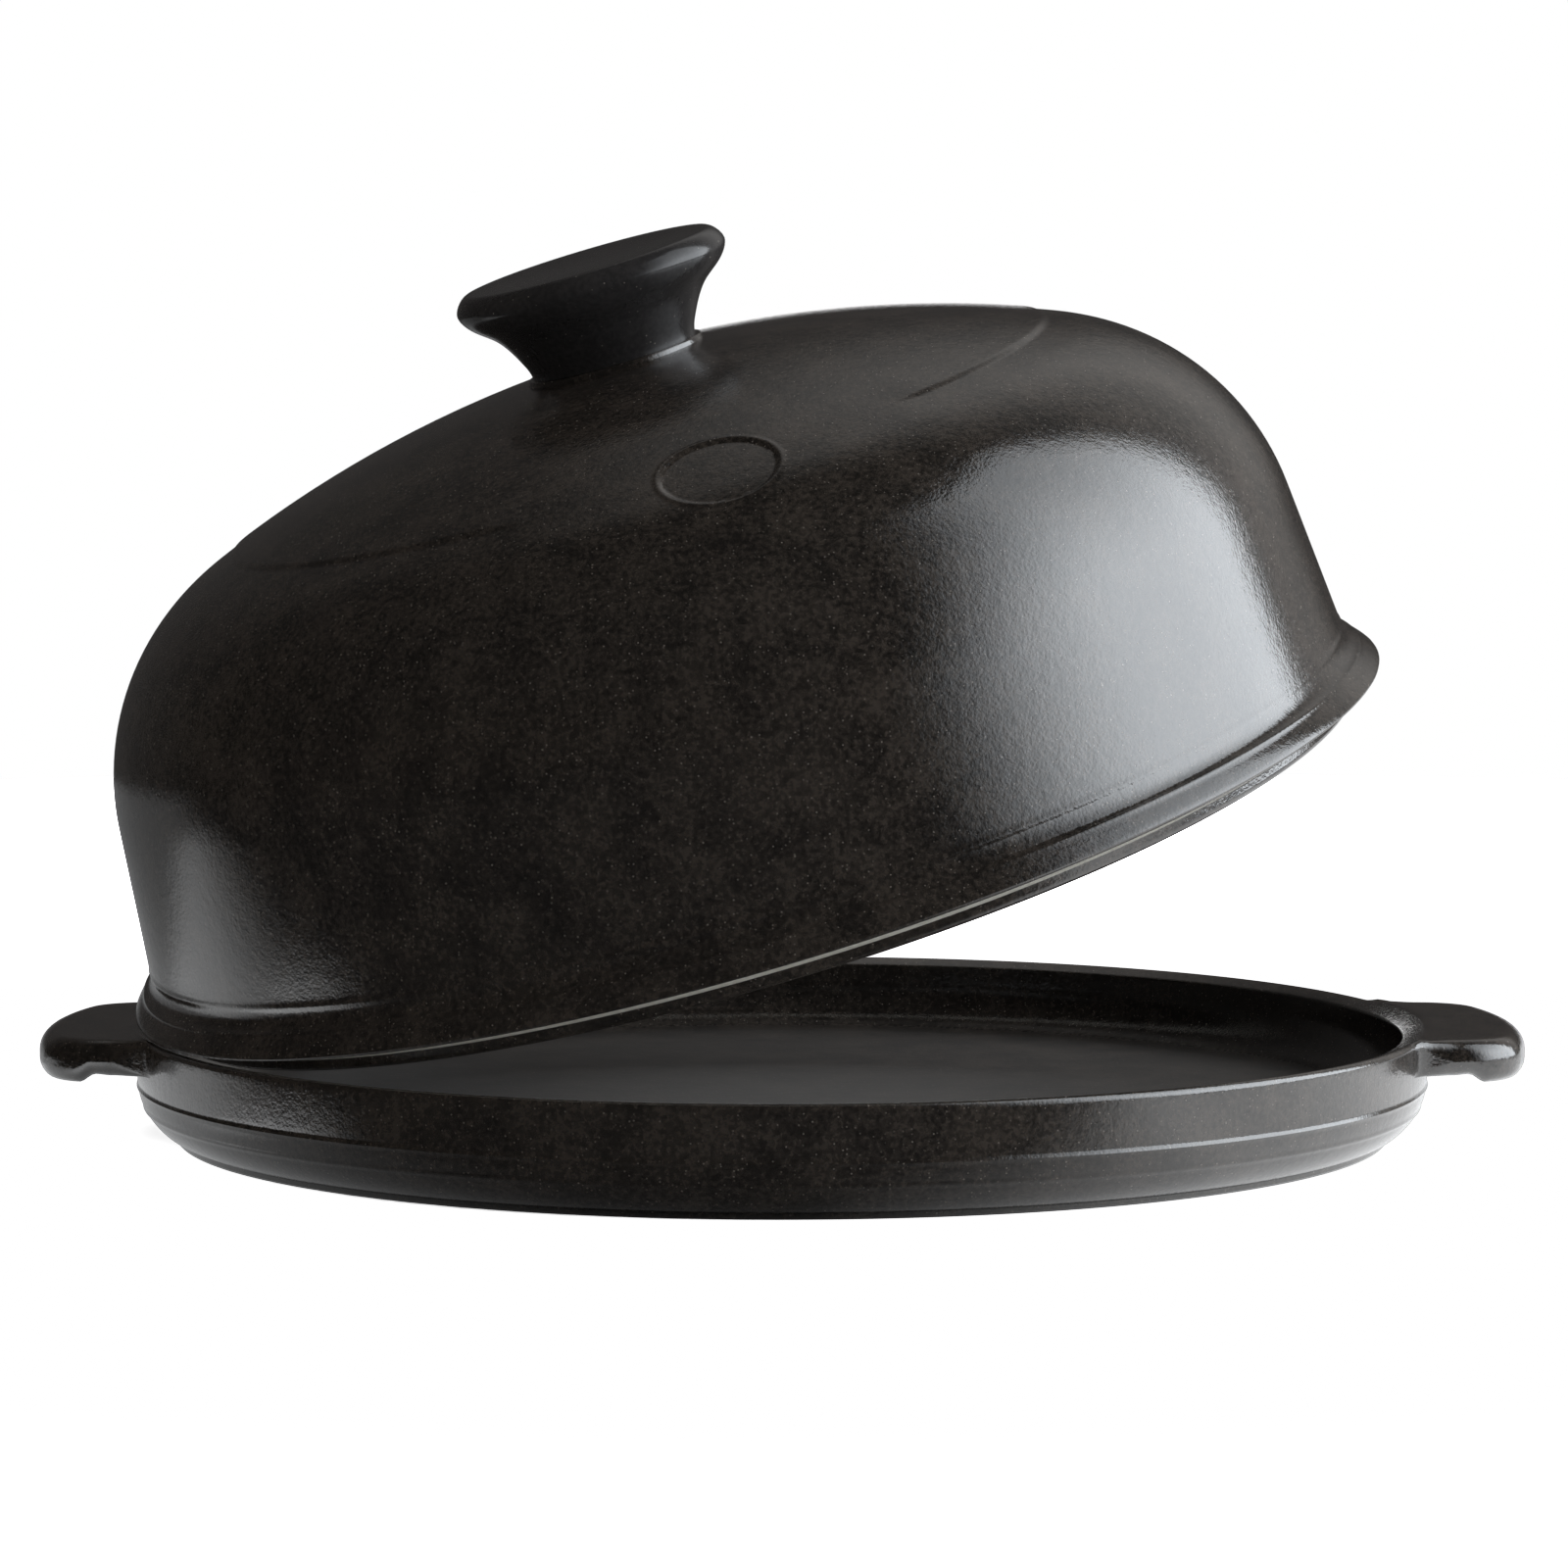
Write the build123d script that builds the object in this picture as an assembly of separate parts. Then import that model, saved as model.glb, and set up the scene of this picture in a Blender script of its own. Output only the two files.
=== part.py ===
from build123d import *

import os
from math import asin, cos, degrees, radians, sin, tan

# Bread cloche: a round glazed stoneware dish with two side handles, and a tall dome lid with a flared knob.
# Millimetres, +Z up. The origin is the centre of the dish's flat underside, and the handles lie along X.
# The lid and its knob are drawn upright about Z with the flange's lower edge at height zero. They are then
# set on the dish and tipped open about the point of the rim that the lid leans on.

# Base dish
dish_radius = 145.0
rim_height = 25.0
dish_wall = 5.5
floor_thickness = 7.5
foot_inset = 8.6
foot_height = 1.4
lower_wall_top = 14.0
lower_wall_radius = 14.0
bore_draft_angle = 4.0
floor_cove_radius = 12.0
rim_edge_rounding = 1.2
bore_edge_rounding = 0.8
bead_radius = 0.9
bead_stand = 0.3
upper_bead_height = 12.4
lower_bead_height = 7.6

# Seat between dish and lid: two matching cones
seat_slope_angle = 20.0
seat_clearance = 0.3

# Handles, in one piece with the dish
handle_overhang = 22.0
handle_width = 82.0
handle_underside_height = 17.0
handle_bow_radius = 120.0
handle_corner_share = 0.7
handle_flare_share = 0.25
handle_top_rounding = 4.0
handle_bottom_rounding = 2.0
grip_lip_height = 15.0
grip_lip_width = 12.0
scoop_depth = 0.6
scoop_width = 8.0
scoop_rounding = 3.0

# Dome lid
lid_wall = 6.5
wall_lean_angle = 5.6
shoulder_radius = 57.0
crown_radius = 264.5
dome_height = 109.6
cap_radius = 94.0
cap_stand = 0.5
flange_stand = 5.3
flange_height = 1.3
flange_slope_angle = 42.0
flange_top_rounding = 1.9
flange_bottom_rounding = 0.6
flange_fillet = 6.5
lip_gap = 1.5
lip_depth = 5.3
lip_rounding = 1.4
badge_diameter = 25.0
badge_depth = 0.5
badge_direction = -79.0
badge_distance = 95.0

# Collar on the dome, and the knob that is made apart and set on it with slip
collar_radius = 21.5
collar_height = 0.4
collar_rounding = 0.9
knob_height = 22.0
knob_foot_radius = 18.7
knob_neck_radius = 20.4
knob_neck_height = 4.9
knob_throat_radius = 23.7
knob_throat_height = 10.1
knob_underside_radius = 28.4
knob_underside_height = 14.1
knob_underside_angle = 43.0
knob_rim_radius = 30.8
knob_rim_height = 18.4
knob_face_radius = 27.2
knob_face_dish = 1.0
spigot_radius = 9.0
spigot_length = 3.0
spigot_clearance = 0.15
spigot_end_gap = 0.4

# Pose of the lid, tipped from closed about a point near the rim's outer edge
lid_tip_angle = 17.8
lid_tip_direction = 24.0
lean_point_inset = 0.7

# One overrun takes every cut past the surface that it leaves by
overrun = 4.0

seat_slope = tan(radians(seat_slope_angle))
foot_radius = dish_radius - foot_inset
bore_radius = dish_radius - dish_wall
bore_top = rim_height - dish_wall * seat_slope
handle_reach = dish_radius + handle_overhang
flange_radius = dish_radius
wall_radius_at_seat = flange_radius - flange_stand
lip_radius = bore_radius - lip_gap
crown_top = dome_height + cap_stand
collar_top = crown_top + collar_height


def lathe(profile):
    """Turn a profile about Z. The profile is drawn flat, with X as the radius and Y as the height."""
    return revolve(Plane.XZ * profile, Axis.Z, 360)


def area(*points):
    """A straight-sided face through (radius, height) points."""
    return make_face(Polyline(points, close=True))


def rounded(face, radius, *corners):
    """Round the corners of a flat face that lie nearest to the given points."""
    chosen = [face.vertices().sort_by_distance((corner[0], corner[1], 0))[0] for corner in corners]
    return fillet(chosen, radius)


def dish_form():
    """Outer form of the dish, still solid: flat foot, rounded lower wall, upright band under the rim."""
    arc_x = dish_radius - lower_wall_radius
    band = area((0, lower_wall_top), (dish_radius, lower_wall_top), (dish_radius, rim_height), (0, rim_height))
    corner = area((arc_x, foot_height), (dish_radius, foot_height), (dish_radius, lower_wall_top),
                  (arc_x, lower_wall_top))
    round_wall = corner & (Pos(arc_x, lower_wall_top) * Circle(lower_wall_radius))
    core = area((0, 0), (arc_x, 0), (arc_x, lower_wall_top), (0, lower_wall_top))
    foot = area((0, 0), (foot_radius, 0), (foot_radius, foot_height), (0, foot_height))
    return lathe(band + round_wall + core + foot)


def wall_bead(height):
    """One fine raised line round the lower wall, most of it buried."""
    drop_angle = asin((height - lower_wall_top) / lower_wall_radius)
    reach = lower_wall_radius + bead_stand - bead_radius
    centre_radius = dish_radius - lower_wall_radius + reach * cos(drop_angle)
    centre_height = lower_wall_top + reach * sin(drop_angle)
    return lathe(Pos(centre_radius, centre_height) * Circle(bead_radius))


def dish_hollow():
    """The space inside the dish, with the cone above it that the lid sits on."""
    bore_foot = bore_radius - (bore_top - floor_thickness) * tan(radians(bore_draft_angle))
    outer = handle_reach + overrun
    outer_height = rim_height + (outer - dish_radius) * seat_slope
    hollow = area(
        (0, floor_thickness),
        (bore_foot, floor_thickness),
        (bore_radius, bore_top),
        (outer, outer_height),
        (0, outer_height),
    )
    hollow = rounded(hollow, floor_cove_radius, (bore_foot, floor_thickness))
    hollow = rounded(hollow, bore_edge_rounding, (bore_radius, bore_top))
    return lathe(hollow)


def handle_block():
    """The right handle and the dish in plan: bowed end, round corners, flared roots, rounded upper edge."""
    half_width = handle_width / 2
    bow_centre = handle_reach - handle_bow_radius
    bow = Pos(bow_centre, 0) * Circle(handle_bow_radius)
    strip = Pos(handle_reach / 2, 0) * Rectangle(handle_reach, handle_width)
    tab = extrude(strip & bow, rim_height)
    corner_x = bow_centre + (handle_bow_radius**2 - half_width**2) ** 0.5
    uprights = tab.edges().filter_by(Axis.Z)
    corners = [uprights.sort_by_distance((corner_x, end * half_width, rim_height / 2))[0] for end in (-1, 1)]
    tab = fillet(corners, handle_overhang * handle_corner_share)
    block = extrude(Circle(dish_radius), rim_height) + tab
    root_x = (dish_radius**2 - half_width**2) ** 0.5
    uprights = block.edges().filter_by(Axis.Z)
    roots = [uprights.sort_by_distance((root_x, end * half_width, rim_height / 2))[0] for end in (-1, 1)]
    block = fillet(roots, handle_overhang * handle_flare_share)
    return fillet(block.faces().sort_by(Axis.Z)[-1].edges(), handle_top_rounding)


def handle_side_view():
    """Side view of the right handle: flat above, with a finger scoop behind the turned-down grip lip."""
    lip_inner = handle_reach - grip_lip_width
    scoop_middle = lip_inner - scoop_width / 2
    scoop_top = handle_underside_height + scoop_depth
    root = dish_radius - floor_cove_radius
    side = area(
        (root, handle_underside_height),
        (lip_inner - scoop_width, handle_underside_height),
        (scoop_middle, scoop_top),
        (lip_inner, grip_lip_height),
        (handle_reach + overrun, grip_lip_height),
        (handle_reach + overrun, rim_height),
        (root, rim_height),
    )
    return rounded(side, scoop_rounding, (scoop_middle, scoop_top))


def handle():
    """The right handle, running back into the dish wall, with the lower edge of its grip lip rounded."""
    slab = extrude(Plane.XZ * handle_side_view(), dish_radius, both=True)
    shape = handle_block() & slab
    lowest = shape.faces().sort_by(Axis.Z)[0]
    return fillet(lowest.edges().filter_by(GeomType.CIRCLE), handle_bottom_rounding)


def base_dish():
    """The dish with its beads and hollow, its rim rounded outside, and then the two handles."""
    dish = dish_form() + wall_bead(upper_bead_height) + wall_bead(lower_bead_height) - dish_hollow()
    outer_edges = [edge for edge in dish.edges() if round(edge.bounding_box().min.Z - rim_height, 3) == 0]
    dish = fillet(outer_edges, rim_edge_rounding)
    right = handle() - dish_hollow()
    return dish + right + mirror(right, Plane.YZ)


def dome_face(inset, foot):
    """Half section of a solid dome from the foot height up: leaning wall, round shoulder, shallow crown."""
    lean = tan(radians(wall_lean_angle))
    wall_radius = wall_radius_at_seat - inset / cos(radians(wall_lean_angle))
    wall = area(
        (0, foot),
        (wall_radius - foot * lean, foot),
        (wall_radius - dome_height * lean, dome_height),
        (wall_radius - dome_height * lean, dome_height + overrun),
        (0, dome_height + overrun),
    )
    crown = Pos(0, dome_height - crown_radius) * Circle(crown_radius - inset)
    return rounded(wall & crown, shoulder_radius - inset, (wall_radius, dome_height))


def flange_and_lip_face():
    """Half section of the rolled flange above the seat cone, and of the lip that drops into the dish."""
    inner = lip_radius - lid_wall
    seat_foot = -(flange_radius - lip_radius) * seat_slope
    top_rise = (flange_radius - inner) * tan(radians(flange_slope_angle))
    flange = area(
        (inner, seat_foot),
        (lip_radius, seat_foot),
        (flange_radius, 0),
        (flange_radius, flange_height),
        (inner, flange_height + top_rise),
    )
    flange = rounded(flange, flange_top_rounding, (flange_radius, flange_height))
    flange = rounded(flange, flange_bottom_rounding, (flange_radius, 0))
    lip = area((inner, -lip_depth), (lip_radius, -lip_depth), (lip_radius, seat_foot), (inner, seat_foot))
    return flange + lip


def dome_shell():
    """The lid turned from its section, with the flange faired into the wall by a hollow curve."""
    section = dome_face(0, 0) + flange_and_lip_face()
    slope = tan(radians(flange_slope_angle))
    lean = tan(radians(wall_lean_angle))
    stand = flange_radius - wall_radius_at_seat
    crease_height = (flange_height + stand * slope) / (1 - slope * lean)
    crease_radius = wall_radius_at_seat - crease_height * lean
    section = rounded(section, flange_fillet, (crease_radius, crease_height))
    section = section - dome_face(lid_wall, -lip_depth)
    inner_foot = wall_radius_at_seat - lid_wall
    section = rounded(section, lip_rounding, (lip_radius, -lip_depth), (inner_foot, -lip_depth))
    return lathe(section)


def cap():
    """The low raised cap on the crown, and the collar under the knob."""
    disc = dome_face(-cap_stand, 0) & area((0, 0), (cap_radius, 0), (cap_radius, crown_top), (0, crown_top))
    disc = disc - dome_face(lid_wall / 2, 0)
    root = dome_height - lid_wall / 2
    collar = area((0, root), (collar_radius, root), (collar_radius, collar_top), (0, collar_top))
    collar = rounded(collar, collar_rounding, (collar_radius, collar_top))
    return lathe(disc) + lathe(collar)


def badge_cutter():
    """Round shallow recess on the near side of the crown. Its floor follows the dome."""
    tilt = degrees(asin(badge_distance / crown_radius))
    disc = Pos(0, 0, crown_radius) * Cylinder(badge_diameter / 2, 2 * overrun)
    disc = Pos(0, 0, dome_height - crown_radius) * Rot(0, 0, badge_direction) * Rot(0, tilt, 0) * disc
    return disc - lathe(dome_face(badge_depth, 0))


def socket():
    """Hole in the collar for the knob's spigot."""
    depth = spigot_length + spigot_end_gap
    hole = Cylinder(spigot_radius + spigot_clearance, depth, align=(Align.CENTER, Align.CENTER, Align.MAX))
    return Pos(0, 0, collar_top) * hole


def dome_lid():
    """The lid, upright: shell, cap and collar in one, less the badge recess and the socket."""
    return dome_shell() + cap() - badge_cutter() - socket()


def lid_knob():
    """The knob: narrow foot, flared underside, round rim, slightly dished face, and a hidden spigot."""
    neck = (knob_neck_radius, knob_neck_height)
    throat = (knob_throat_radius, knob_throat_height)
    underside = (knob_underside_radius, knob_underside_height)
    rim = (knob_rim_radius, knob_rim_height)
    face_edge = (knob_face_radius, knob_height)
    flare_heading = (cos(radians(knob_underside_angle)), sin(radians(knob_underside_angle)))
    flare = Spline((knob_foot_radius, 0), neck, throat, underside, tangents=[(0, 1), flare_heading])
    roll = Spline(underside, rim, face_edge, tangents=[flare_heading, (0, 1), (-1, 0)])
    inside = Polyline(
        face_edge,
        (0, knob_height),
        (0, -spigot_length),
        (spigot_radius, -spigot_length),
        (spigot_radius, 0),
        (knob_foot_radius, 0),
    )
    knob = lathe(make_face(Curve() + [flare, roll, inside]))
    dish_sphere_radius = (knob_face_radius**2 + knob_face_dish**2) / (2 * knob_face_dish)
    dish_centre = knob_height - knob_face_dish + dish_sphere_radius
    knob = knob - Pos(0, 0, dish_centre) * Sphere(dish_sphere_radius)
    return Pos(0, 0, collar_top) * knob


def set_on_dish(shape):
    """Carry an upright piece of the lid to the dish, tipped open about the point that it leans on."""
    heading = radians(lid_tip_direction)
    lean_radius = dish_radius - lean_point_inset
    seat_height = rim_height + seat_clearance
    lean_point = (-lean_radius * cos(heading), -lean_radius * sin(heading), seat_height)
    hinge = Axis(lean_point, (sin(heading), -cos(heading), 0))
    return (Pos(0, 0, seat_height) * shape).rotate(hinge, lid_tip_angle)


os.makedirs("parts", exist_ok=True)
export_step(base_dish(), "parts/base_dish.step")
export_step(set_on_dish(dome_lid()), "parts/dome_lid.step")
export_step(set_on_dish(lid_knob()), "parts/lid_knob.step")
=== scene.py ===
import math

import bmesh
import bpy
from mathutils import Matrix, Vector


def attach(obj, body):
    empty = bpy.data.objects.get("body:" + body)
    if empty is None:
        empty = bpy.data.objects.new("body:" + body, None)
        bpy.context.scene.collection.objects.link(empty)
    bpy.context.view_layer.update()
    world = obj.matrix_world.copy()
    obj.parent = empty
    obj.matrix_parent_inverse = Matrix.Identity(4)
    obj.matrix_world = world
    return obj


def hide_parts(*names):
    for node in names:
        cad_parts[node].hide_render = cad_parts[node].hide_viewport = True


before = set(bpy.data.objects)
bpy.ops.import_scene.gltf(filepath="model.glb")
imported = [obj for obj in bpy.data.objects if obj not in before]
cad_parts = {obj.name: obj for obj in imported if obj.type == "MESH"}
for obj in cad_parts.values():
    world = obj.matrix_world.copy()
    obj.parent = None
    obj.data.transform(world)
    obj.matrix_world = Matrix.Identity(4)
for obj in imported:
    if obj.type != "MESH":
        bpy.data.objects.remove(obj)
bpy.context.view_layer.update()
scene = bpy.context.scene

# Camera
# Nearly level and square to the two handles, far off with a long lens.
camera_lens = 122.0
camera_sensor = 36.0
camera_place = (0.0004, -1.1971, 0.1621)
camera_pitch = 86.0

camera_data = bpy.data.cameras.new("camera")
camera_data.lens = camera_lens
camera_data.sensor_width = camera_sensor
camera = bpy.data.objects.new("camera", camera_data)
camera.location = camera_place
camera.rotation_euler = (math.radians(camera_pitch), 0, 0)
scene.collection.objects.link(camera)
scene.camera = camera
scene.view_settings.view_transform = "Standard"

# Base dish
# One pressed stoneware piece: flat floor, upright wall with two fine raised lines over a rounded lower wall,
# a rim that slopes inwards as the lid's seat, and two flat handles. Glazed all over in a dark glossy glaze.
mm = 0.001
dish_radius = 145.0
underside_rings = (0.0, 70.0, 130.0)
dish_foot_radius = 136.4
dish_foot_height = 1.4
foot_bevel = 0.3
foot_neck = 0.2
wall_round = 14.0
wall_line_heights = (7.6, 12.4)
wall_line_stand = 0.3
wall_line_width = 0.8
rim_height = 25.0
seat_angle = math.radians(20)
rim_rounding = 1.3
bore_radius = 139.5
bore_draft = math.radians(4)
bore_edge_rounding = 0.8
floor_height = 7.5
floor_cove = 12.0
floor_rings = (100.0, 60.0, 20.0, 0.0)
handle_reach = 167.0
handle_half_width = 41.0
handle_bow = 120.0
handle_corner = 15.4
handle_flare = 5.5
handle_rounding = 4.5
handle_rounding_reach = 9.0
handle_drop = 0.3
handle_drop_reach = 2.5
seat_slope_fade = (145.0, 149.0)
handle_underside = 17.0
grip_lip_height = 15.4
scoop_height = 17.3
scoop_start = 147.0
scoop_middle = 151.0
scoop_end = 155.5
lower_edge_rounding = 3.2
lower_edge_share = 0.45
crest_limit = 0.9
dish_columns = 720
lathe_sectors = 12
column_spread = 0.3
wall_rows = 44
under_rows = 14
lower_edge_rows = 6
side_rows = 4
upper_edge_rows = 9
top_rows = 6
crease_rows = 3
band_rows = under_rows + lower_edge_rows + side_rows + upper_edge_rows + 1 + top_rows + crease_rows
bore_edge_steps = 5
cove_steps = 12
dish_sharp_angle = 38


def rounded_corner(before, corner, after, radius, steps):
    """Points of the round that takes the place of a corner between two straight runs."""
    corner = Vector(corner)
    back = (Vector(before) - corner).normalized()
    ahead = (Vector(after) - corner).normalized()
    half = back.angle(ahead) / 2
    centre = corner + (back + ahead).normalized() * (radius / math.sin(half))
    first = corner + back * (radius / math.tan(half)) - centre
    last = corner + ahead * (radius / math.tan(half)) - centre
    reach = first.length
    first.normalize()
    last.normalize()
    return [tuple(centre + reach * first.slerp(last, i / steps)) for i in range(steps + 1)]


def blend(low, high, value):
    """0 below low, 1 above high and smooth between them."""
    share = min(max((value - low) / (high - low), 0), 1)
    return share * share * (3 - 2 * share)


def lathe_mesh(profile, columns):
    """A bmesh turned about Z from a profile of (radius, height) in mm, with each vertex's row in a layer."""
    bm = bmesh.new()
    row = bm.verts.layers.int.new("row")
    ring = [bm.verts.new((radius * mm, 0, height * mm)) for radius, height in profile]
    for number, vertex in enumerate(ring):
        vertex[row] = number
    edges = [bm.edges.new(pair) for pair in zip(ring, ring[1:])]
    centre = Vector((0, 0, 0))
    angle = math.tau / lathe_sectors
    steps = columns // lathe_sectors
    bmesh.ops.spin(bm, geom=ring + edges, cent=centre, axis=(0, 0, 1), angle=angle, steps=steps)
    sector = bm.verts[:] + bm.edges[:] + bm.faces[:]
    for number in range(1, lathe_sectors):
        copy = bmesh.ops.duplicate(bm, geom=sector)["geom"]
        turned = [part for part in copy if isinstance(part, bmesh.types.BMVert)]
        bmesh.ops.rotate(bm, cent=centre, matrix=Matrix.Rotation(number * angle, 3, "Z"), verts=turned)
    return bm, row


def finish_mesh(bm, name, sharp_angle, merge_distance=2e-6):
    """Closes the mesh, turns its faces outwards and makes it an object with smooth shading."""
    bmesh.ops.remove_doubles(bm, verts=bm.verts, dist=merge_distance)
    bmesh.ops.dissolve_degenerate(bm, dist=merge_distance, edges=bm.edges)
    bmesh.ops.recalc_face_normals(bm, faces=bm.faces)
    for face in bm.faces:
        face.smooth = True
    mesh = bpy.data.meshes.new(name)
    bm.to_mesh(mesh)
    bm.free()
    mesh.set_sharp_from_angle(angle=math.radians(sharp_angle))
    piece = bpy.data.objects.new(name, mesh)
    scene.collection.objects.link(piece)
    return piece


def dish_wall_radius(height):
    """Outer radius of the dish below the rim: rounded lower wall with the two raised lines."""
    drop = max(wall_round - height, 0)
    radius = dish_radius - wall_round + math.sqrt(wall_round**2 - drop**2)
    for line in wall_line_heights:
        radius += wall_line_stand * (1 - blend(0, wall_line_width, abs(height - line)))
    return radius


def dish_profile():
    """Outline of the plain dish, from its underside's centre out, up and back in over the floor."""
    edge = (dish_radius, rim_height)
    bore_top = (bore_radius, rim_height - (dish_radius - bore_radius) * math.tan(seat_angle))
    bore_foot = (bore_radius - (bore_top[1] - floor_height) * math.tan(bore_draft), floor_height)
    wall_height = handle_underside - dish_foot_height
    heights = [dish_foot_height + wall_height * i / wall_rows for i in range(wall_rows)]
    lower = [(radius, 0) for radius in underside_rings]
    lower += [(dish_foot_radius - foot_bevel, 0), (dish_foot_radius, foot_bevel)]
    lower += [(dish_foot_radius, dish_foot_height - foot_neck)]
    lower += [(dish_wall_radius(height), height) for height in heights]
    band = [(dish_radius, handle_underside)] * band_rows
    upper = rounded_corner(edge, bore_top, bore_foot, bore_edge_rounding, bore_edge_steps)
    upper += rounded_corner(bore_top, bore_foot, (0, floor_height), floor_cove, cove_steps)
    upper += [(radius, floor_height) for radius in floor_rings]
    return lower + band + upper, len(lower)


def handle_outline(distance):
    """Point and outward heading on the right handle's edge in plan, at a distance from its tip along +Y."""
    flare_height = handle_half_width + handle_flare
    flare_centre = Vector((math.sqrt((dish_radius + handle_flare) ** 2 - flare_height**2), flare_height))
    bow_centre = Vector((handle_reach - handle_bow, 0))
    corner_height = handle_half_width - handle_corner
    bow_end = math.asin(corner_height / (handle_bow - handle_corner))
    to_corner = Vector((math.cos(bow_end), math.sin(bow_end)))
    corner_centre = bow_centre + (handle_bow - handle_corner) * to_corner
    bow_length = handle_bow * bow_end
    if distance < bow_length:
        angle = distance / handle_bow
        return bow_centre + handle_bow * Vector((math.cos(angle), math.sin(angle))), angle
    distance -= bow_length
    corner_length = handle_corner * (math.pi / 2 - bow_end)
    if distance < corner_length:
        angle = bow_end + distance / handle_corner
        return corner_centre + handle_corner * Vector((math.cos(angle), math.sin(angle))), angle
    distance -= corner_length
    straight = corner_centre.x - flare_centre.x
    if distance < straight:
        return Vector((corner_centre.x - distance, handle_half_width)), math.pi / 2
    angle = math.pi / 2 - (distance - straight) / handle_flare
    return flare_centre - handle_flare * Vector((math.cos(angle), math.sin(angle))), angle


def handle_half_length():
    """Length of the handle's edge from its tip to where it leaves the round dish, and that place's angle."""
    flare_height = handle_half_width + handle_flare
    root_angle = math.asin(flare_height / (dish_radius + handle_flare))
    corner_height = handle_half_width - handle_corner
    bow_end = math.asin(corner_height / (handle_bow - handle_corner))
    straight = handle_reach - handle_bow + (handle_bow - handle_corner) * math.cos(bow_end)
    straight -= (dish_radius + handle_flare) * math.cos(root_angle)
    length = handle_bow * bow_end + handle_corner * (math.pi / 2 - bow_end) + straight
    return length + handle_flare * (math.pi / 2 - root_angle), root_angle


def handle_underside_height(reach):
    """Height of the handle's underside: flat root, finger scoop, turned-down grip lip."""
    rise = (scoop_height - handle_underside) * blend(scoop_start, scoop_middle, reach)
    return handle_underside + rise + (grip_lip_height - scoop_height) * blend(scoop_middle, scoop_end, reach)


def top_height(point):
    """Height of the seat slope, and of the handle's flat top a little below the rim's crest."""
    over = point.length - dish_radius
    if over < 0:
        return rim_height + over * math.tan(seat_angle)
    return rim_height - handle_drop * blend(0, handle_drop_reach, over)


def band_point(row, wall_angle, edge, heading):
    """Place of one row of the band from the handle's root, round its edge and back over its top."""
    wall = dish_radius * Vector((math.cos(wall_angle), math.sin(wall_angle)))
    out = Vector((math.cos(heading), math.sin(heading)))
    reach = (edge - wall).length
    lower_rounding = min(lower_edge_rounding, lower_edge_share * reach)
    lower_inner = edge - out * lower_rounding
    lower_height = handle_underside_height(edge.x) if reach > 0.01 else handle_underside
    if row < under_rows:
        place = wall.lerp(lower_inner, row / (under_rows - 1))
        return place, handle_underside_height(place.x) if row else handle_underside
    row -= under_rows
    if row < lower_edge_rows:
        turn = (row + 1) / lower_edge_rows * math.pi / 2
        place = lower_inner + out * lower_rounding * math.sin(turn)
        return place, lower_height + lower_rounding * (1 - math.cos(turn))
    row -= lower_edge_rows
    rounding = rim_rounding + (handle_rounding - rim_rounding) * blend(0, handle_rounding_reach, reach)
    slope = seat_angle * (1 - blend(*seat_slope_fade, edge.length))
    arc_start = edge - out * rounding * (1 + math.sin(slope))
    centre_height = top_height(arc_start) - rounding * math.cos(slope)
    if row < side_rows:
        low = lower_height + lower_rounding
        return edge, low + (centre_height - low) * (row + 1) / (side_rows + 1)
    row -= side_rows
    if row <= upper_edge_rows:
        turn = (math.pi / 2 + slope) * row / upper_edge_rows
        place = edge - out * rounding * (1 - math.cos(turn))
        return place, centre_height + rounding * math.sin(turn)
    row -= upper_edge_rows
    inner = (dish_radius - rim_rounding * (1 + math.sin(seat_angle))) * wall.normalized()
    crest_share = (dish_radius - inner.length) / max(arc_start.length - inner.length, 0.001)
    crest = inner.lerp(arc_start, min(crest_share, crest_limit))
    if row <= top_rows:
        place = arc_start.lerp(crest, row / top_rows)
    else:
        place = crest.lerp(inner, (row - top_rows) / crease_rows)
    return place, top_height(place)


def base_dish():
    """The dish turned whole, then the band under its rim drawn out to both handles."""
    profile, first_row = dish_profile()
    bm, row_layer = lathe_mesh(profile, dish_columns)
    half_length, root_angle = handle_half_length()
    for vertex in bm.verts:
        row = vertex[row_layer] - first_row
        side_x = -1 if vertex.co.x < 0 else 1
        side_y = -1 if vertex.co.y < 0 else 1
        angle = math.atan2(abs(vertex.co.y), abs(vertex.co.x))
        angle -= column_spread * math.sin(2 * angle)
        if 0 <= row < band_rows:
            edge = dish_radius * Vector((math.cos(angle), math.sin(angle)))
            heading = angle
            if angle < root_angle:
                edge, heading = handle_outline(half_length * angle / root_angle)
            place, height = band_point(row, angle, edge, heading)
            vertex.co = (side_x * place.x * mm, side_y * place.y * mm, height * mm)
        else:
            radius = math.hypot(vertex.co.x, vertex.co.y)
            vertex.co.x = side_x * radius * math.cos(angle)
            vertex.co.y = side_y * radius * math.sin(angle)
    return finish_mesh(bm, "dish_with_handles", dish_sharp_angle)


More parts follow.
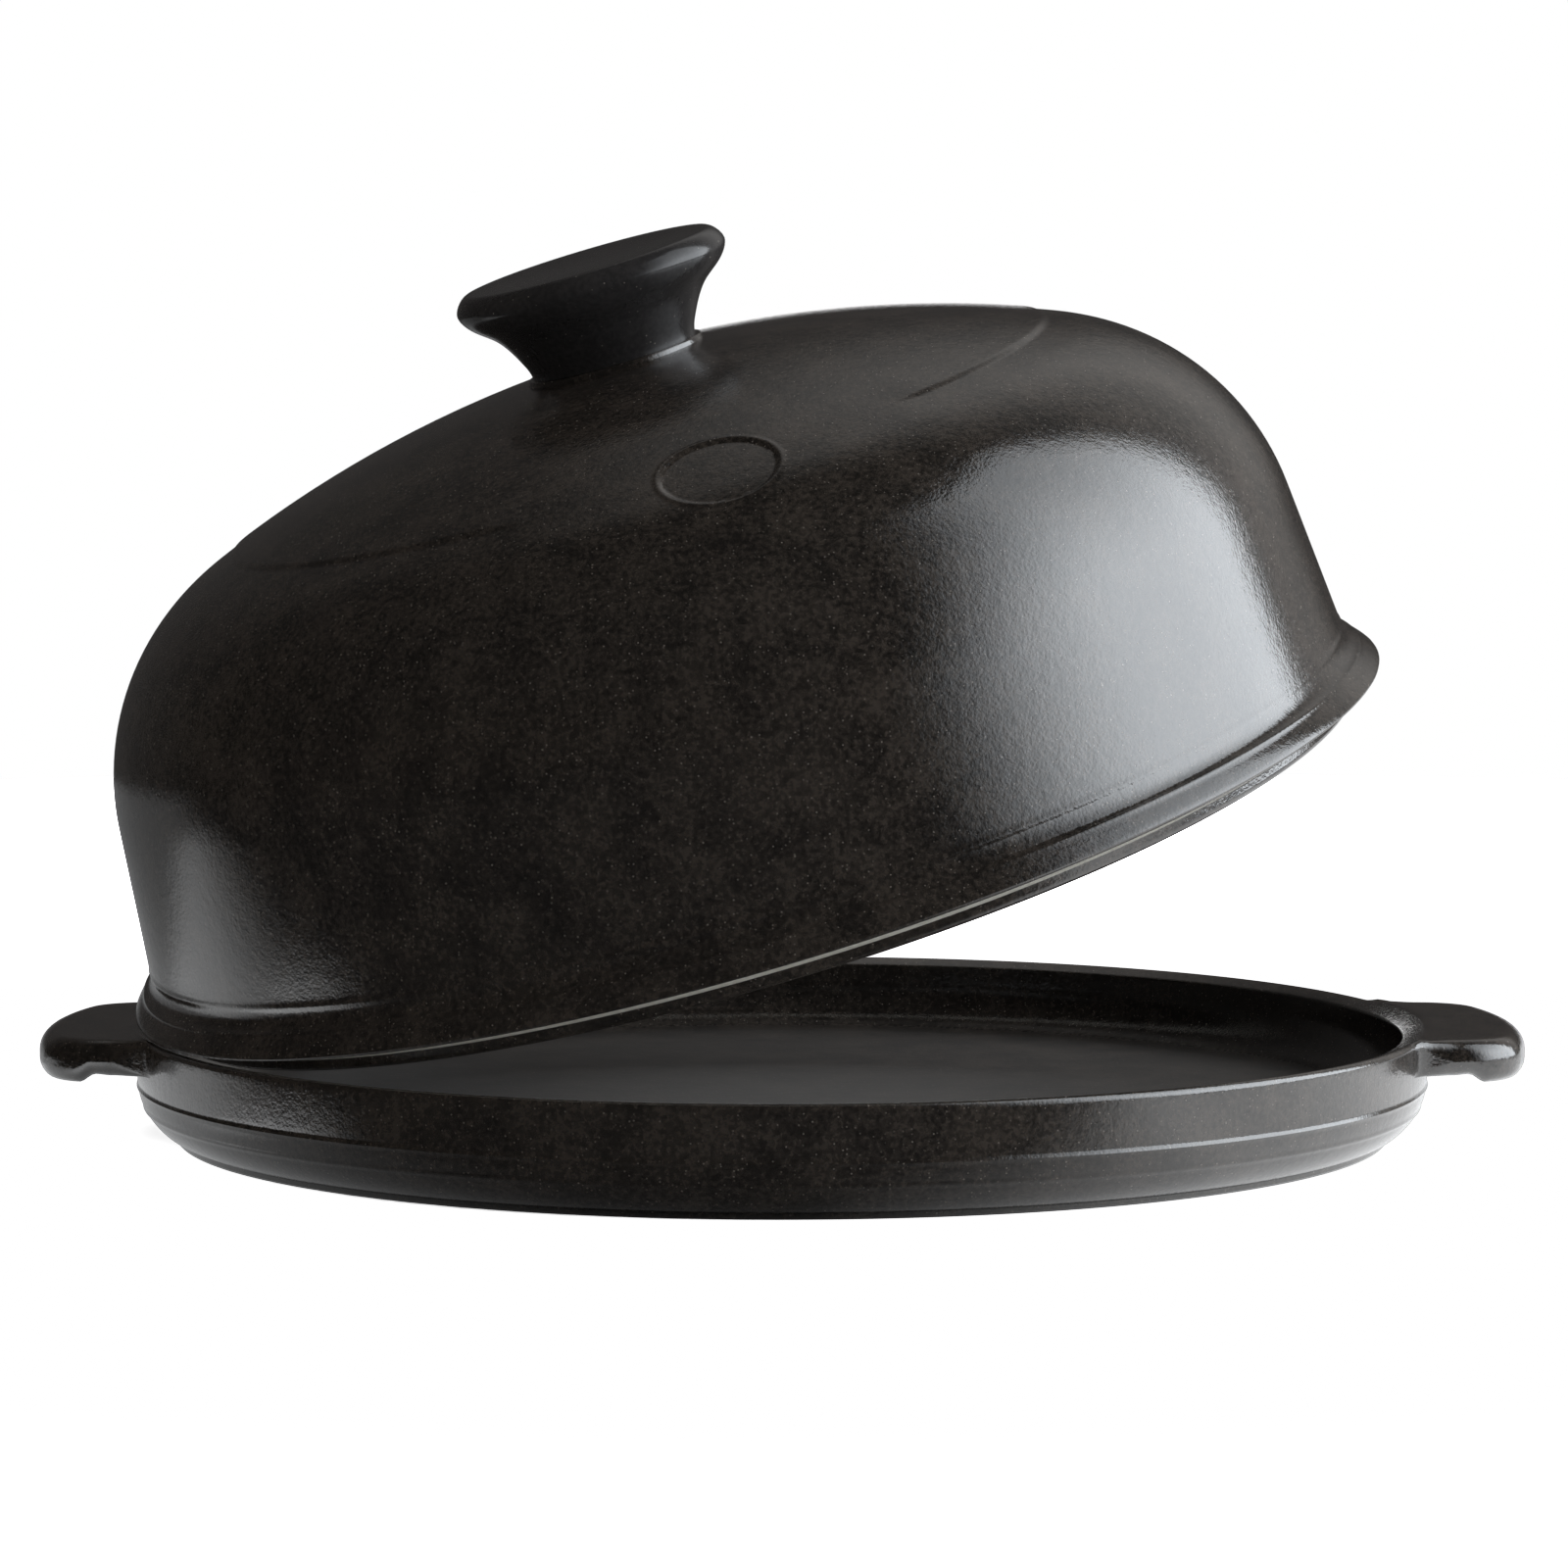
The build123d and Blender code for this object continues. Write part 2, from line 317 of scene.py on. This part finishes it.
class Shader:
    """A socket in a node tree, with arithmetic that adds the nodes for it."""

    def __init__(self, tree, socket=None):
        self.tree = tree
        self.socket = socket

    def node(self, kind, settings, values, output=0):
        """Any node: its settings, then its input values or links by name or number."""
        made = self.tree.nodes.new(kind)
        for key, value in settings.items():
            setattr(made, key, value)
        for key, value in values.items():
            if isinstance(value, Shader):
                self.tree.links.new(value.socket, made.inputs[key])
            else:
                made.inputs[key].default_value = value
        return Shader(self.tree, made.outputs[output])

    def math(self, operation, first, second):
        return self.node("ShaderNodeMath", {"operation": operation}, {0: first, 1: second})

    def __add__(self, other):
        return self.math("ADD", self, other)

    def __radd__(self, other):
        return self.math("ADD", other, self)

    def __sub__(self, other):
        return self.math("SUBTRACT", self, other)

    def __rsub__(self, other):
        return self.math("SUBTRACT", other, self)

    def __mul__(self, other):
        return self.math("MULTIPLY", self, other)

    def __rmul__(self, other):
        return self.math("MULTIPLY", other, self)

    def between(self, low, high):
        """0 below low, 1 above high."""
        settings = {"interpolation_type": "SMOOTHSTEP"}
        return self.node("ShaderNodeMapRange", settings, {"Value": self, "From Min": low, "From Max": high})

    def mix(self, first, second):
        """The first colour where this is 0, the second where it is 1."""
        return self.node("ShaderNodeMix", {"data_type": "RGBA"}, {0: self, 6: first, 7: second}, 2)

    def noise(self, scale, detail, roughness=0.5):
        """Fine irregular pattern over this place, 0 to 1."""
        values = {"Vector": self, "Scale": scale, "Detail": detail, "Roughness": roughness}
        return self.node("ShaderNodeTexNoise", {}, values)

    def part(self, axis):
        """The first, second or third part of a place, by its number from 0."""
        return self.node("ShaderNodeSeparateXYZ", {}, {"Vector": self}, axis)

    def length(self):
        """Distance of a place from the origin."""
        return self.node("ShaderNodeVectorMath", {"operation": "LENGTH"}, {0: self}, "Value")

    def to_output(self, kind="ShaderNodeOutputMaterial"):
        """Makes this shader the surface of its material or world."""
        self.tree.links.new(self.socket, self.tree.nodes.new(kind).inputs["Surface"])


def new_material(name):
    """An empty material and the start of its nodes."""
    material = bpy.data.materials.new(name)
    material.use_nodes = True
    material.node_tree.nodes.clear()
    return material, Shader(material.node_tree)


glaze_dark = (0.017, 0.0145, 0.0125, 1)
glaze_brown = (0.062, 0.05, 0.041, 1)
glaze_roughness = 0.13
glaze_index = 2.0
glaze_relief = 0.00005
speck_share = 0.4
speck_colour = (0.26, 0.23, 0.2, 1)
speck_scale = 1150.0
speck_size = (0.1, 0.26)
mottle_scale = 85.0
mottle_share = 0.4
fine_scale = 900.0
fine_share = 0.6
brown_range = (0.38, 0.64)
roughness_spread = 0.14
peel_scale = 380.0
grain_scale = 1500.0
floor_edge = (0.128, 0.136)
floor_underneath = (0.005, 0.007)
floor_above = (0.008, 0.012)
floor_dullness = 0.35


def glaze(name, dark, brown, specks, roughness, relief, index, dull_floor=False):
    """Dark glossy glaze: brown-black mottling, fine pale specks and a slight orange-peel surface."""
    material, nodes = new_material(name)
    place = nodes.node("ShaderNodeTexCoord", {}, {}, 3)
    mottle = place.noise(mottle_scale, detail=5.0, roughness=0.65)
    fine = place.noise(fine_scale, detail=3.0, roughness=0.6)
    body = (mottle * mottle_share + fine * fine_share).between(*brown_range).mix(dark, brown)
    cells = {"Vector": place, "Scale": speck_scale}
    distance = nodes.node("ShaderNodeTexVoronoi", {}, cells)
    cell = nodes.node("ShaderNodeTexVoronoi", {}, cells, 1)
    chance = nodes.node("ShaderNodeSeparateColor", {}, {"Color": cell})
    speck = chance.between(1 - specks, 1) * (1 - distance.between(*speck_size))
    colour = speck.mix(body, speck_colour)
    gloss = fine * roughness_spread + (roughness - roughness_spread / 2)
    if dull_floor:
        level = place.part(2)
        inside = 1 - place.length().between(*floor_edge)
        floor = inside * level.between(*floor_underneath) * (1 - level.between(*floor_above))
        gloss = gloss + floor * floor_dullness
    height = place.noise(peel_scale, detail=1.0) + place.noise(grain_scale, detail=2.0)
    bump = nodes.node("ShaderNodeBump", {}, {"Height": height, "Strength": 1.0, "Distance": relief})
    values = {"Base Color": colour, "Roughness": gloss, "Normal": bump, "IOR": index}
    nodes.node("ShaderNodeBsdfPrincipled", {}, values).to_output()
    return material


dish = base_dish()
glaze_values = (glaze_dark, glaze_brown, speck_share, glaze_roughness, glaze_relief, glaze_index)
dish.data.materials.append(glaze("dish_glaze", *glaze_values, dull_floor=True))
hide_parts("base_dish")
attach(dish, "base")

# Dome lid
# One thin stoneware dome: a low raised cap round the knob, a shallow round badge recess on the near side,
# a rolled flange over the dish's rim, a bare clay line on the seat and a short lip that drops inside.
lid_wall = 6.5
wall_lean = 5.6
wall_foot_radius = 139.7
shoulder_centre = (78.79, 37.06)
shoulder_radius = 57.0
crown_centre = (0.0, -154.9)
crown_radius = 264.5
crown_start = 85.2
crown_end = 67.68
outer_crown_runs = ((crown_start, 73.0, 12), (72.8, crown_end, 46))
outer_shoulder_runs = ((crown_end - 0.5, 56.0, 22), (54.0, wall_lean, 20))
outer_wall_heights = (36.0, 28.0, 20.0, 14.0, 11.0)
inner_runs = ((wall_lean, 66.0, 10), (68.0, 90.0, 8))
inner_wall_heights = (4.0, 18.0, 34.0)
cap_radius = 94.0
cap_stand = 0.5
cap_step_width = 1.8
cap_fade = (25.0, 32.0)
cap_fade_behind = 1.5
cap_slope = (70.0, 112.0)
collar_radius = 20.0
collar_edge_rounding = 0.5
collar_foot_gap = 0.15
collar_foot_stand = 0.1
collar_top = 110.5
socket_radius = 9.15
socket_depth = 3.4
badge_heading = -79.0
badge_distance = 95.0
badge_radius = 12.5
badge_depth = 0.5
badge_edge = (-0.6, 0.1)
badge_line_place = 0.7
badge_line_width = 0.9
badge_line_stand = 0.18
lip_radius = 138.0
lip_top_drop = 2.8
lip_depth = 5.3
lip_rounding = 1.4
lip_middle = 132.0
lid_columns = 540
badge_column_draw = 0.6
lid_sharp_angle = 35
lid_tip = math.radians(17.8)
lid_hinge = Vector((-131.825, -58.692, 25.3)) * mm
lid_hinge_axis = Vector((0.406737, -0.913545, 0))


def dome_point(angle, inset):
    """Point of the dome's section where its surface leans at an angle in degrees, 90 at the top."""
    centre, radius = shoulder_centre, shoulder_radius
    if angle > crown_end:
        centre, radius = crown_centre, crown_radius
    turn = math.radians(angle)
    return centre[0] + (radius - inset) * math.cos(turn), centre[1] + (radius - inset) * math.sin(turn)


def dome_section(runs, inset):
    """Points of the dome's section over runs of (first angle, last angle, steps), both ends included."""
    points = []
    for first, last, steps in runs:
        points += [dome_point(first + (last - first) * i / steps, inset) for i in range(steps + 1)]
    return points


def wall_point(height, inset):
    """Point of the dome's leaning wall at a height."""
    lean = math.radians(wall_lean)
    return wall_foot_radius - height * math.tan(lean) - inset / math.cos(lean), height


def lid_profile():
    """Outline of the lid from its socket out and down to the flange, round the lip and back up inside."""
    collar_edge = (collar_radius, collar_top)
    collar = [(0, collar_top - socket_depth), (socket_radius, collar_top - socket_depth)]
    collar += [(socket_radius, collar_top)]
    collar += rounded_corner((0, collar_top), collar_edge, (collar_radius, 0), collar_edge_rounding, 4)
    crown_height = dome_point(crown_start, 0)[1] + cap_stand
    collar += [(collar_radius + collar_foot_gap, crown_height + collar_foot_stand)]
    dome = dome_section(outer_crown_runs + outer_shoulder_runs, 0)
    wall = [wall_point(height, 0) for height in outer_wall_heights]
    ridge_at_wall = [(138.69, 10.5), (138.79, 10.1), (138.96, 9.65), (139.02, 9.25), (138.99, 8.85)]
    hollow = [(139.02, 8.3), (139.28, 7.2), (139.75, 6.2), (140.35, 5.45), (140.95, 5.0)]
    ridge_at_crest = [(141.45, 4.78), (141.78, 4.6), (141.95, 4.3), (142.07, 3.95)]
    roll = [(142.6, 3.4), (143.3, 2.72), (143.9, 2.05), (144.4, 1.45), (144.8, 0.9), (145.0, 0.4)]
    under_edge = [(144.8, 0.0), (144.4, -0.2)]
    flange = ridge_at_wall + hollow + ridge_at_crest + roll + under_edge
    seat = [(143.5, -0.53), (142.0, -1.09), (139.6, -1.97), (138.05, -2.5)]
    lip_foot = (lip_radius, -lip_depth)
    lip = [(lip_radius, -lip_top_drop)]
    lip += rounded_corner((lip_radius, 0), lip_foot, (lip_middle, -lip_depth), lip_rounding, 5)
    inner_foot = wall_point(-lip_depth, lid_wall)
    inner_wall = [wall_point(height, lid_wall) for height in inner_wall_heights]
    lip += rounded_corner(lip_foot, inner_foot, inner_wall[-1], lip_rounding, 5)
    return collar, dome, wall + flange, seat, lip + inner_wall + dome_section(inner_runs, lid_wall)


def shape_crown(point):
    """Raises the cap with its step, which fades near the badge and behind, and sinks the badge recess."""
    radius = math.hypot(point.x, point.y)
    azimuth = math.degrees(math.atan2(point.y, point.x))
    near = abs(azimuth - badge_heading)
    far = abs((azimuth - badge_heading) % 360 - 180)
    sharp = blend(*cap_fade, min(near, cap_fade_behind * far))
    step = 1 - blend(cap_radius - cap_step_width / 2, cap_radius + cap_step_width / 2, radius)
    slope = 1 - blend(*cap_slope, radius)
    rise = cap_stand * (sharp * step + (1 - sharp) * slope)
    heading = math.radians(badge_heading)
    tilt = math.asin(badge_distance / crown_radius)
    out = Vector((math.sin(tilt) * math.cos(heading), math.sin(tilt) * math.sin(heading), math.cos(tilt)))
    from_centre = point - Vector((0, 0, crown_centre[1]))
    away = from_centre.cross(out).length
    recess = 1 - blend(badge_radius + badge_edge[0], badge_radius + badge_edge[1], away)
    line = 1 - blend(0, badge_line_width, abs(away - badge_radius - badge_line_place))
    return point + from_centre.normalized() * (rise - badge_depth * recess + badge_line_stand * line)


def tip_open(bm):
    """Carries an upright piece of the lid to its tipped place on the dish's rim."""
    lift = Matrix.Translation((0, 0, lid_hinge.z))
    turn = Matrix.Translation(lid_hinge) @ Matrix.Rotation(lid_tip, 4, lid_hinge_axis)
    turn = turn @ Matrix.Translation(-lid_hinge)
    bmesh.ops.transform(bm, matrix=turn @ lift, verts=bm.verts)


def dome_lid():
    """The lid turned whole, its columns closer at the badge, with cap, badge recess and bare seat."""
    collar, dome, flange, seat, rest = lid_profile()
    bm, row_layer = lathe_mesh(collar + dome + flange + seat + rest, lid_columns)
    first_bare = len(collar + dome + flange)
    badge = math.radians(badge_heading)
    for vertex in bm.verts:
        row = vertex[row_layer]
        radius = math.hypot(vertex.co.x, vertex.co.y)
        turn = math.atan2(vertex.co.y, vertex.co.x) - badge
        turn = (turn + math.pi) % math.tau - math.pi
        turn -= badge_column_draw * math.sin(turn)
        vertex.co.x = radius * math.cos(badge + turn)
        vertex.co.y = radius * math.sin(badge + turn)
        if 0 <= row - len(collar) < len(dome):
            vertex.co = shape_crown(vertex.co / mm) * mm
    for face in bm.faces:
        rows = [vertex[row_layer] - first_bare for vertex in face.verts]
        face.material_index = int(min(rows) >= 0 and max(rows) < len(seat))
    tip_open(bm)
    return finish_mesh(bm, "domed_lid", lid_sharp_angle)


clay_dark = (0.62, 0.59, 0.51, 1)
clay_pale = (0.76, 0.73, 0.65, 1)
clay_scale = 600.0
clay_contrast = (0.35, 0.65)
clay_roughness = 0.8


def bare_clay(name):
    """Unglazed pale stoneware, slightly speckled and matt."""
    material, nodes = new_material(name)
    place = nodes.node("ShaderNodeTexCoord", {}, {}, 3)
    colour = place.noise(clay_scale, detail=3.0).between(*clay_contrast).mix(clay_dark, clay_pale)
    values = {"Base Color": colour, "Roughness": clay_roughness}
    nodes.node("ShaderNodeBsdfPrincipled", {}, values).to_output()
    return material


lid = dome_lid()
lid.data.materials.append(glaze("lid_glaze", *glaze_values))
lid.data.materials.append(bare_clay("seat_clay"))
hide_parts("dome_lid")
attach(lid, "lid")

# Knob
# A small solid stoneware piece with a narrow foot, a flared underside, a round rim and a dished face.
# Made apart, with a spigot luted into the socket of the dome's collar. Plainer glaze, with few specks.
knob_foot_radius = 18.7
knob_spigot_radius = 9.0
knob_spigot_length = 3.0
knob_height = 22.0
knob_flare = (28.4, 14.1)
knob_flare_angle = 43.0
knob_rim = (30.8, 18.4)
knob_face_radius = 27.2
knob_face_dish = 1.0
knob_face_rings = 10
knob_curve_steps = 8
knob_columns = 252
knob_sharp_angle = 40
knob_dark = (0.03, 0.028, 0.028, 1)
knob_pale = (0.044, 0.041, 0.04, 1)
knob_speck_share = 0.12
knob_roughness = 0.17
knob_relief = 0.00001
knob_index = 1.5


def smooth_run(points, start, end, steps):
    """A curve through (radius, height) points, with its directions at both ends."""
    points = [Vector(point) for point in points]
    slopes = [(after - before) / 2 for before, after in zip(points, points[2:])]
    slopes = [Vector(start) * (points[1] - points[0]).length] + slopes
    slopes += [Vector(end) * (points[-1] - points[-2]).length]
    curve = [tuple(points[0])]
    for i in range(len(points) - 1):
        for k in range(1, steps + 1):
            t = k / steps
            place = points[i] * (1 + 2 * t) * (1 - t) ** 2 + slopes[i] * t * (1 - t) ** 2
            place += points[i + 1] * t * t * (3 - 2 * t) + slopes[i + 1] * t * t * (t - 1)
            curve.append(tuple(place))
    return curve


def lid_knob():
    """The knob turned from its spigot out over the flare and in over the face, set on the collar."""
    outwards = (math.cos(math.radians(knob_flare_angle)), math.sin(math.radians(knob_flare_angle)))
    neck = [(knob_foot_radius, 0), (20.4, 4.9), (23.7, 10.1), knob_flare]
    rim = [knob_flare, knob_rim, (knob_face_radius, knob_height)]
    side = smooth_run(neck, (0, 1), outwards, knob_curve_steps)
    side += smooth_run(rim, outwards, (-1, 0), knob_curve_steps)[1:]
    face = []
    for i in range(1, knob_face_rings + 1):
        radius = knob_face_radius * (1 - i / knob_face_rings)
        face.append((radius, knob_height - knob_face_dish * (1 - (radius / knob_face_radius) ** 2)))
    root = [(0, -knob_spigot_length), (knob_spigot_radius, -knob_spigot_length), (knob_spigot_radius, 0)]
    profile = [(radius, height + collar_top) for radius, height in root + side + face]
    bm = lathe_mesh(profile, knob_columns)[0]
    tip_open(bm)
    return finish_mesh(bm, "flared_knob", knob_sharp_angle)


knob = lid_knob()
knob_values = (knob_dark, knob_pale, knob_speck_share, knob_roughness, knob_relief, knob_index)
knob.data.materials.append(glaze("knob_glaze", *knob_values))
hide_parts("lid_knob")
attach(knob, "lid")

# Table
# A wide white table top that shows the camera only the object's shadow. To the glaze it glows with a painted
# reflection: bright at the right and behind, dimmer at the left, dark in front, painted shade by the foot
# and one painted highlight at the front left.
table_radius = 1.2
table_segments = 128
table_colour = (0.8, 0.8, 0.8, 1)
table_roughness = 0.6
mirrored_dark = (0.01, 0.01, 0.01, 1)
mirrored_pale = (0.97, 0.985, 1.0, 1)
mirrored_glow = 1.4
painted_reflection_depth = (-0.15, -0.03)
painted_reflection_slope = 0.6
left_bend = -0.18
right_rise = (-0.35, 0.15)
right_share = 0.36
right_depth_share = 0.22
right_depth = (-0.12, 0.02)
left_share = 0.42
left_depth_loss = 0.75
left_depth = (0.05, 0.13)
foot_shade = (0.15, 0.19)
highlight_centre = (-0.183, -0.085, 0.0)
highlight_share = 0.6
highlight_size = (0.01, 0.055)
table_fade = (0.35, 0.6)

bm = bmesh.new()
bmesh.ops.create_circle(bm, cap_ends=True, segments=table_segments, radius=table_radius)
table_mesh = bpy.data.meshes.new("table")
bm.to_mesh(table_mesh)
bm.free()
table = bpy.data.objects.new("table", table_mesh)
scene.collection.objects.link(table)
table.is_shadow_catcher = True
table_material, nodes = new_material("table_white")
place = nodes.node("ShaderNodeTexCoord", {}, {}, 3)
table_x = place.part(0)
table_y = place.part(1)
reach = place.length()
right_side = table_x.math("MAXIMUM", table_x, 0.0)
left_side = table_x.math("MINIMUM", table_x - left_bend, 0.0)
# Painted reflection: the glow the glaze mirrors, brighter at the right and behind than in front.
pale = (table_y + (right_side + left_side) * painted_reflection_slope).between(*painted_reflection_depth)
to_right = table_x.between(*right_rise)
right_shine = to_right * (right_share + right_depth_share * table_y.between(*right_depth))
# Painted shade in the reflection, near the dish's foot on the left.
painted_foot_shade = to_right + (1 - to_right) * reach.between(*foot_shade)
left_shine = left_share * (1 - left_depth_loss * table_y.between(*left_depth)) * painted_foot_shade
# Painted highlight: one bright spot in the reflection at the front left.
distance_values = {0: place, 1: highlight_centre}
front_left = nodes.node("ShaderNodeVectorMath", {"operation": "DISTANCE"}, distance_values, "Value")
painted_highlight = highlight_share * (1 - front_left.between(*highlight_size))
mirrored_colour = (pale * (left_shine + right_shine) + painted_highlight).mix(mirrored_dark, mirrored_pale)
# The table glows for mirror rays only, as a painted reflection; it is no lamp.
glow = nodes.node("ShaderNodeEmission", {}, {"Color": mirrored_colour, "Strength": mirrored_glow})
white_values = {"Base Color": table_colour, "Roughness": table_roughness}
white = nodes.node("ShaderNodeBsdfPrincipled", {}, white_values)
mirrored = nodes.node("ShaderNodeLightPath", {}, {}, "Is Glossy Ray")
table_top = nodes.node("ShaderNodeMixShader", {}, {0: mirrored, 1: white, 2: glow})
faded = nodes.node("ShaderNodeLightPath", {}, {}) * reach.between(*table_fade)
clear = nodes.node("ShaderNodeBsdfTransparent", {}, {})
nodes.node("ShaderNodeMixShader", {}, {0: faded, 1: table_top, 2: clear}).to_output()
table_mesh.materials.append(table_material)

# Large soft light on the right
# A curved diffuser from low at the right to overhead, brightest low down and towards its back edge.
panel_radius = 2.0
panel_steps = 24
soft_strength = 4.0
soft_dark = (0.0, 0.0, 0.0, 1)
soft_tint = (0.9, 0.95, 1.0, 1)
soft_rise = (0.1, 0.6)
soft_fall = (0.3, 1.0)
soft_loss = 0.7


def direction(azimuth, elevation):
    """Direction from the object: azimuth from the viewer's side towards the right, in degrees."""
    turn = math.radians(azimuth)
    rise = math.radians(elevation)
    return Vector((math.cos(rise) * math.sin(turn), -math.cos(rise) * math.cos(turn), math.sin(rise)))


def light_panel(name, front, back, low, high):
    """Part of a large sphere that shines inwards; its map runs from front to back and from low to high."""
    bm = bmesh.new()
    bm.loops.layers.uv.new("panel")
    bmesh.ops.create_grid(bm, x_segments=panel_steps, y_segments=panel_steps, size=0.5, calc_uvs=True)
    for vertex in bm.verts:
        azimuth = front + (back - front) * (vertex.co.x + 0.5)
        elevation = low + (high - low) * (vertex.co.y + 0.5)
        vertex.co = panel_radius * direction(azimuth, elevation)
    mesh = bpy.data.meshes.new(name)
    bm.to_mesh(mesh)
    bm.free()
    panel = bpy.data.objects.new(name, mesh)
    scene.collection.objects.link(panel)
    panel.visible_camera = False
    return panel


soft_light = light_panel("soft_light", front=22.0, back=120.0, low=2.0, high=72.0)
soft_material, nodes = new_material("soft_light")
place = nodes.node("ShaderNodeUVMap", {"uv_map": "panel"}, {})
brightness = place.part(0).between(*soft_rise) * (1 - soft_loss * place.part(1).between(*soft_fall))
colour = brightness.mix(soft_dark, soft_tint)
nodes.node("ShaderNodeEmission", {}, {"Color": colour, "Strength": soft_strength}).to_output()
soft_light.data.materials.append(soft_material)

# Fill light
# A weaker light from the left and above that lifts the shadows and is not mirrored in the glaze.
fill_strength = 0.42
fill_tint = (1.0, 0.97, 0.93, 1)

fill = light_panel("fill_light", front=-150.0, back=10.0, low=25.0, high=80.0)
fill.visible_glossy = False
fill_material, nodes = new_material("fill_light")
nodes.node("ShaderNodeEmission", {}, {"Color": fill_tint, "Strength": fill_strength}).to_output()
fill.data.materials.append(fill_material)

# Low card behind
# A narrow lit card straight behind, mirrored as a thin line along the top outlines and in the dish's floor.
card_strength = 1.8
card_tint = (1.0, 1.0, 1.0, 1)

card = light_panel("back_card", front=175.5, back=184.5, low=6.5, high=11.5)
card_material, nodes = new_material("back_card")
nodes.node("ShaderNodeEmission", {}, {"Color": card_tint, "Strength": card_strength}).to_output()
card.data.materials.append(card_material)

# Surroundings
# White for the camera. Otherwise a dim room, lighter behind the object, high up and towards the right.
room_front = (0.014, 0.013, 0.012, 1)
room_behind = (0.045, 0.043, 0.042, 1)
room_behind_depth = (0.3, 1.0)
rear_light = (0.42, 0.41, 0.4, 1)
rear_depth = (0.25, 0.85)
rear_height = (0.35, 0.85)
rear_right_share = 0.88
camera_white = (1.0, 1.0, 1.0, 1)

world = bpy.data.worlds.new("studio")
world.use_nodes = True
world.node_tree.nodes.clear()
scene.world = world
nodes = Shader(world.node_tree)
place = nodes.node("ShaderNodeTexCoord", {}, {}, 0)
side, depth, height = [place.part(axis) for axis in range(3)]
rear = depth.between(*rear_depth) * (height + side * rear_right_share).between(*rear_height)
dim = depth.between(*room_behind_depth).mix(room_front, room_behind)
seen = nodes.node("ShaderNodeLightPath", {}, {})
sky = seen.mix(rear.mix(dim, rear_light), camera_white)
nodes.node("ShaderNodeBackground", {}, {"Color": sky, "Strength": 1.0}).to_output("ShaderNodeOutputWorld")
